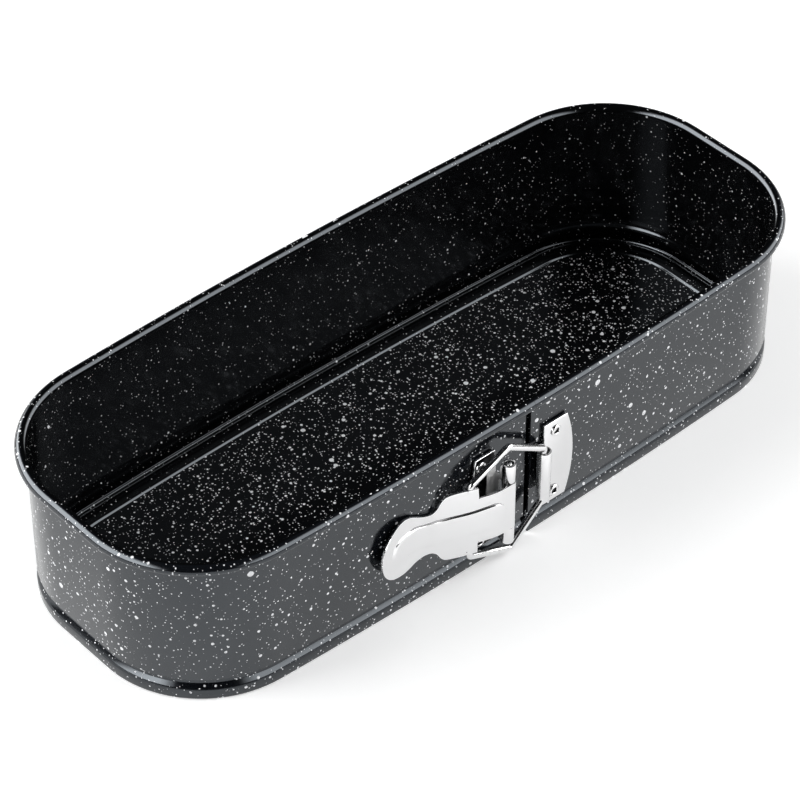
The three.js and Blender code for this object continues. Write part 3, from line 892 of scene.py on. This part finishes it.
def lever_shares():
    """The shares of the sheet's columns, closest at the rib's ends, and the number of those by the barrel."""
    near, near_stop = RIB_NEAR / LEVER_LENGTH - RIB_NEAR_LEAD, (RIB_NEAR + RIB_HALF) / LEVER_LENGTH
    far, far_stop = (RIB_FAR - RIB_HALF) / LEVER_LENGTH, RIB_FAR / LEVER_LENGTH + RIB_FAR_LEAD
    shares = FIRST_SHARES + crowded(near, near_stop, RIB_END_STEPS)
    shares += evenly(near_stop, BARREL_STOP, BARREL_STEPS) + [BARREL_STOP]
    by_barrel = len(shares)
    shares += evenly(WING_START, far, HANDLE_STEPS) + crowded(far, far_stop, RIB_END_STEPS)
    turns = [math.radians(90 * i / TIP_STEPS) for i in range(TIP_STEPS + 1)]
    return shares + [far_stop + (1 - far_stop) * math.sin(turn) for turn in turns], by_barrel


def lever_sheet():
    """A grid whose columns are bent round the pin and then laid along the lever."""
    shares, by_barrel = lever_shares()
    curl = [math.radians(angle) for angle in CURL_ANGLES]
    deselect()
    bpy.ops.mesh.primitive_grid_add(x_subdivisions=len(curl) + len(shares) - 1,
                                    y_subdivisions=sum(ROW_COUNTS), size=1)
    obj = begin("latch_lever")
    mesh = bmesh.from_edit_mesh(obj.data)
    columns, lines = ({place: i for i, place in enumerate(sorted({round(v.co[axis], 5) for v in mesh.verts}))}
                      for axis in (0, 1))
    for v in mesh.verts:
        column, line = columns[round(v.co.x, 5)], lines[round(v.co.y, 5)]
        if column < len(curl):
            turn = curl[column]
            v.co = at(PIN_X + CURL_RADIUS * math.cos(turn), PIN_Y + CURL_RADIUS * math.sin(turn),
                      up(lever_rows(0, False)[line]))
        else:
            column -= len(curl)
            share = shares[column]
            z = lever_rows(share, column < by_barrel)[line]
            if column == by_barrel - 1 and abs(z) > HALF_BARREL - SHOULDER_ROWS:
                share = SHOULDER
            x = PIN_X - LEVER_LENGTH * share
            v.co = at(x, wall_y(x) - lever_height(share, z), up(z))
    bmesh.update_edit_mesh(obj.data)
    end()
    thickened(obj, LEVER_SHEET)
    softened(obj, *LEVER_EDGE)
    return obj


EAR_RADIUS, EYE_RADIUS, EAR_SHEET = 2.2, 1.35, 0.9
EAR_UPPER, EAR_LOWER = 13.5, -14.4  # heights of the ears' undersides
EAR_ARC = (-40, 220, 24)
EAR_EDGE = (0.15, 2, 50)
EYE_STEPS = 24
DRILL_LENGTH, DRILL_MIDDLE = 4, 0.4  # the middle's height above the ear's underside


def ear(name, low):
    """A lug under the wing's edge, drawn round the eye that holds the wire."""
    obj = drawn(name, [(x, y, up(low)) for x, y in on_circle(EYE_X, EYE_Y, EAR_RADIUS, *EAR_ARC)])
    pull(at(0, 0, EAR_SHEET))
    end()
    deselect()
    bpy.ops.mesh.primitive_cylinder_add(vertices=EYE_STEPS, radius=EYE_RADIUS * MM, depth=DRILL_LENGTH * MM,
                                        location=at(EYE_X, EYE_Y, up(low + DRILL_MIDDLE)))
    drill = bpy.context.object
    bpy.ops.object.transform_apply(location=True, rotation=True, scale=True)
    shaped(obj, "BOOLEAN", operation="DIFFERENCE", object=drill, solver="EXACT")
    bpy.data.objects.remove(drill)
    softened(obj, *EAR_EDGE)
    return obj


def lever():
    return joined("latch_lever", [lever_sheet(), ear("ear_upper", EAR_UPPER), ear("ear_lower", EAR_LOWER)])


dressed(lever(), "lever", "lever")


# Wire bail: up through the keeper's barrel, over two shoulders and into the lever's eyes

WIRE_RADIUS, WIRE_BEND = 1.3, 1.9
WIRE_BEND_STEPS, WIRE_RING = 7, 6
WIRE_Y = EYE_Y - 0.4
WIRE_END_X, WIRE_LEG_X = -29.2, 4.5
WIRE_LINE = [
    (WIRE_END_X, 13.2), (WIRE_END_X, 15.2), (-12.2, 22.65), (WIRE_LEG_X, 12.2),
    (WIRE_LEG_X, -11.2), (-10.4, -25.0), (WIRE_END_X, -17.0), (WIRE_END_X, -14.0),
]


def with_bends(line, radius, steps):
    """The line with each of its inner corners bent to a radius."""
    bent = [line[0]]
    for before, corner, after in zip(line, line[1:], line[2:]):
        corner = Vector(corner)
        back, on = (Vector(before) - corner).normalized(), (Vector(after) - corner).normalized()
        half = back.angle(on) / 2
        centre = corner + (back + on).normalized() * radius / math.sin(half)
        first = corner + back * radius / math.tan(half) - centre
        last = corner + on * radius / math.tan(half) - centre
        swing = first.angle_signed(last)
        bent += [tuple(centre + Matrix.Rotation(-swing * i / steps, 2) @ first) for i in range(steps + 1)]
    return bent + [line[-1]]


def wire():
    line = with_bends(WIRE_LINE, WIRE_BEND, WIRE_BEND_STEPS)
    drawn("wire_loop", [(x, WIRE_Y, up(z)) for x, z in line], filled=False)
    bpy.ops.object.mode_set(mode="OBJECT")
    bpy.ops.object.convert(target="CURVE")
    curve = bpy.context.object.data
    curve.bevel_depth = WIRE_RADIUS * MM
    curve.bevel_resolution = WIRE_RING
    curve.use_fill_caps = True
    bpy.ops.object.convert(target="MESH")
    obj = begin("wire_loop")
    end()
    return obj


dressed(wire(), "bail", "wire_bail", wire_plate)


# Floor, room, lamps and camera

FLOOR_RADIUS = 2000
FLOOR_DROP = 0.05  # keeps the floor just under the pan
FLOOR_STEPS = 96
FLOOR_CLOUD = 60
FLOOR_WHITE, FLOOR_PALE = (0.93, 0.935, 0.94, 1), (0.95, 0.95, 0.95, 1)
WHITE, BLACK = (1, 1, 1, 1), (0, 0, 0, 1)


def floor_paint():
    """Matt white that also glows a little to the camera and in reflections, so that it stays white."""
    finish = Finish("white_floor", Roughness=0.5, IOR=1.3, Emission_Strength=0.3)
    finish.set("Base Color", finish.mixed(finish.noise(FLOOR_CLOUD), FLOOR_WHITE, FLOOR_PALE))
    path = finish.node("ShaderNodeLightPath", {}, output=None)
    seen = Value(finish, path.outputs["Is Camera Ray"])
    for way in ("Is Glossy Ray", "Is Transmission Ray"):
        seen = seen.highest(Value(finish, path.outputs[way]))
    finish.set("Emission Color", finish.mixed(seen, BLACK, WHITE))
    return finish.material


def studio_floor():
    deselect()
    bpy.ops.mesh.primitive_circle_add(vertices=FLOOR_STEPS, radius=FLOOR_RADIUS * MM, fill_type="NGON",
                                      location=at(0, 0, -FLOOR_DROP))
    obj = bpy.context.object
    obj.name = "studio_floor"
    bpy.ops.object.transform_apply(location=True, rotation=True, scale=True)
    painted(obj, floor_paint())


# The room has a bright card to the right of the camera and one to its left. This direction is to the right.
SIDE_X, SIDE_Y = 0.75, -0.66
RIGHT_CARD_RISE, RIGHT_CARD_START, RIGHT_CARD_GLOW = 5.0, -2.3, 4.2
LEFT_CARD_RISE, LEFT_CARD_START, LEFT_CARD_GLOW = -5.0, -1.9, 7.5
HORIZON_RISE, HORIZON_START = 10.0, -1.2
CARDS_DEPTH = 2.15  # the cards show in the first reflection and fade in the second
ROOM_GLOW = 0.01
ROOM_LIGHT = 0.22


def pale_room():
    """White to the eye, and in reflections bright at both sides above the horizon and dark elsewhere."""
    world = bpy.data.worlds.new("pale_room")
    bpy.context.scene.world = world
    world.use_nodes = True
    tree = world.node_tree
    sky = tree.nodes["Background"]
    path = tree.nodes.new("ShaderNodeLightPath")
    way = tree.nodes.new("ShaderNodeTexCoord")
    apart = tree.nodes.new("ShaderNodeSeparateXYZ")
    tree.links.new(way.outputs["Generated"], apart.inputs[0])

    def value(operation, *inputs, clamp=False):
        node = tree.nodes.new("ShaderNodeMath")
        node.operation = operation
        node.use_clamp = clamp
        for socket, given in zip(node.inputs, inputs):
            if hasattr(given, "links"):
                tree.links.new(given, socket)
            else:
                socket.default_value = given
        return node.outputs[0]

    def ramp(given, rise, start):
        return value("MULTIPLY_ADD", given, rise, start, clamp=True)

    side = value("MULTIPLY_ADD", apart.outputs["X"], SIDE_X, value("MULTIPLY", apart.outputs["Y"], SIDE_Y))
    right_card = ramp(side, RIGHT_CARD_RISE, RIGHT_CARD_START)
    left_card = ramp(side, LEFT_CARD_RISE, LEFT_CARD_START)
    cards = value("MULTIPLY_ADD", right_card, RIGHT_CARD_GLOW, value("MULTIPLY", left_card, LEFT_CARD_GLOW))
    above_horizon = ramp(apart.outputs["Z"], HORIZON_RISE, HORIZON_START)
    first_mirror = value("SUBTRACT", CARDS_DEPTH, path.outputs["Glossy Depth"], clamp=True)
    room = value("MULTIPLY_ADD", cards, value("MULTIPLY", above_horizon, first_mirror), ROOM_GLOW)
    mirrored = value("MAXIMUM", path.outputs["Is Glossy Ray"], path.outputs["Is Transmission Ray"])
    for_light = value("MULTIPLY", value("SUBTRACT", 1.0, mirrored), ROOM_LIGHT)
    around = value("MULTIPLY_ADD", mirrored, room, for_light)
    strength = value("MAXIMUM", around, path.outputs["Is Camera Ray"])
    tree.links.new(strength, sky.inputs["Strength"])
    sky.inputs["Color"].default_value = WHITE


LAMP_DISTANCE = 1800


def softbox(name, toward, width, height, power):
    """A soft lamp that looks at the pan from a direction and shows in no reflection."""
    data = bpy.data.lights.new(name, "AREA")
    data.shape = "RECTANGLE"
    data.size, data.size_y, data.energy = width * MM, height * MM, power
    lamp = bpy.data.objects.new(name, data)
    bpy.context.scene.collection.objects.link(lamp)
    way = Vector(toward).normalized()
    lamp.visible_glossy = False
    lamp.location = way * (LAMP_DISTANCE * MM)
    lamp.rotation_euler = way.to_track_quat("Z", "Y").to_euler()


# The photograph's camera, solved from the rim and the foot
LENS, SENSOR = 150.85, 36
NEAREST, FURTHEST = 50, 30000
AZIMUTH, ELEVATION = math.radians(-41.4554), math.radians(41.4943)
TARGET, DISTANCE = (14.351, 23.994, 0), 1208.487


def photo_camera():
    data = bpy.data.cameras.new("photo_camera")
    data.lens = LENS
    data.sensor_width = SENSOR
    data.clip_start, data.clip_end = NEAREST * MM, FURTHEST * MM
    camera = bpy.data.objects.new("photo_camera", data)
    bpy.context.scene.collection.objects.link(camera)
    level = math.cos(ELEVATION)
    back = Vector((math.sin(AZIMUTH) * level, -math.cos(AZIMUTH) * level, math.sin(ELEVATION)))
    camera.location = at(*TARGET) + back * (DISTANCE * MM)
    camera.rotation_euler = (math.pi / 2 - ELEVATION, 0, AZIMUTH)
    bpy.context.scene.camera = camera


studio_floor()
pale_room()
softbox("right_softbox", toward=(0.64, -0.56, 0.53), width=1300, height=1700, power=27)
softbox("left_softbox", toward=(-0.64, 0.56, 0.53), width=1500, height=1500, power=36)
photo_camera()
bpy.context.scene.view_settings.view_transform = "Standard"
